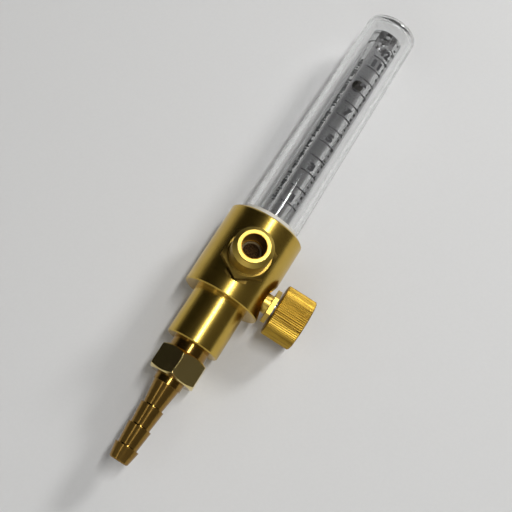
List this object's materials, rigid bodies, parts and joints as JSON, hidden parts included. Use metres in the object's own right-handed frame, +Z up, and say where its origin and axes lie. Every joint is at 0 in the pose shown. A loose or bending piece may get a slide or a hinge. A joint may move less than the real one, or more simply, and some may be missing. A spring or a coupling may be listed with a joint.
{
  "type": "oxygen flowmeter",
  "caption": "Upright gas flowmeter with brass valve body, side inlet, hose nipple, needle valve with knurled knob, and ball float in a clear covered tube.",
  "frame": {"origin": "on the metering tube's axis, at the mouth of the hose nipple's bore", "axes": "+Z up along the metering tube, -Y out of the inlet, +X out towards the control knob"},
  "size_m": [0.0474, 0.0471, 0.206],
  "materials": {
    "body_brass": "satin turned",
    "knob_brass": "satin knurled",
    "fitting_brass": "satin turned",
    "clear_cover": "clear",
    "clear_tube": "clear",
    "pale_seal": "matt white",
    "ring_rubber": "matt black",
    "washer_plastic": "matt",
    "bronze_filter": "sintered, rough",
    "steel": "bright",
    "ball_steel": "polished",
    "scale_ink": "printed black"
  },
  "bodies": {
    "body": {"valve_body": "body_brass", "hose_nipple": "fitting_brass", "nipple_seal": "washer_plastic", "inlet_port": "fitting_brass", "inlet_seal": "washer_plastic", "inlet_filter": "bronze_filter", "filter_clip": "steel", "valve_seat": "washer_plastic", "valve_gland": "fitting_brass", "gland_seal": "washer_plastic", "outer_cover": "clear_cover", "cover_seal": "pale_seal", "metering_tube": "clear_tube", "tube_seal": "washer_plastic", "float_seat": "fitting_brass", "float_stop": "clear_tube"},
    "ring": {"spindle_seal": "ring_rubber"},
    "knob": {"valve_spindle": "steel", "control_knob": "knob_brass", "knob_set_screw": "steel"},
    "float": {"float_ball": "ball_steel"}
  },
  "joints": [
    {"name": "spindle_advance", "type": "slide", "parent": "body", "child": "ring", "axis": [1, 0, 0], "range_m": [0, 0.00175]},
    {"name": "knob_turn", "type": "hinge", "parent": "ring", "child": "knob", "pos_m": [0.02545, 0, 0.0781], "axis": [1, 0, 0], "range_deg": [0, 630]},
    {"name": "float_travel", "type": "slide", "parent": "body", "child": "float", "axis": [0, 0, 1], "range_m": [-0.0667, 0.0183]}
  ],
  "couplings": [
    {"joint": "knob_turn", "follows": "spindle_advance", "rad_per_m": 6283.2}
  ]
}
